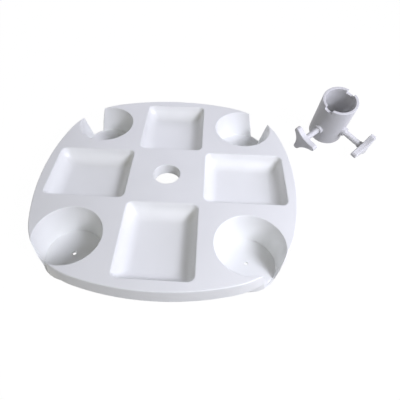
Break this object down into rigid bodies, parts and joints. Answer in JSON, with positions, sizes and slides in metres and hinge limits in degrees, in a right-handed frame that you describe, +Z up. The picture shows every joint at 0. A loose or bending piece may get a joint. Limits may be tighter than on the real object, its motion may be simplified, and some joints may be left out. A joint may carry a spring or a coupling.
{
  "type": "umbrella table tray",
  "caption": "Moulded tray for an umbrella pole with cup wells, handle slots, coved snack pockets and a sleeved pole hole, and its screw-tightened tube clamp.",
  "frame": {"origin": "middle of the pole hole in the tray's top face", "axes": "+Z up along the pole, +X towards the tray's right side, where the clamp stands, +Y towards its back"},
  "size_m": [0.5315, 0.3902, 0.1007],
  "materials": {
    "tray_plastic": "glossy injection moulded white",
    "clamp_plastic": "semi-gloss moulded white",
    "screw_plastic": "semi-gloss moulded white"
  },
  "bodies": {
    "tray_and_clamp": {"tray": "tray_plastic", "pole_clamp": "clamp_plastic"},
    "screw_left": {"thumb_screw_left": "screw_plastic"},
    "screw_right": {"thumb_screw_right": "screw_plastic"}
  },
  "joints": [
    {"name": "screw_left_travel", "type": "slide", "parent": "tray_and_clamp", "child": "screw_left", "axis": [0.7515, 0.6273, 0.2044], "range_m": [-0.0053, 0.0187]},
    {"name": "screw_right_travel", "type": "slide", "parent": "tray_and_clamp", "child": "screw_right", "axis": [-0.6597, 0.7185, 0.2204], "range_m": [-0.0007, 0.0233]}
  ]
}
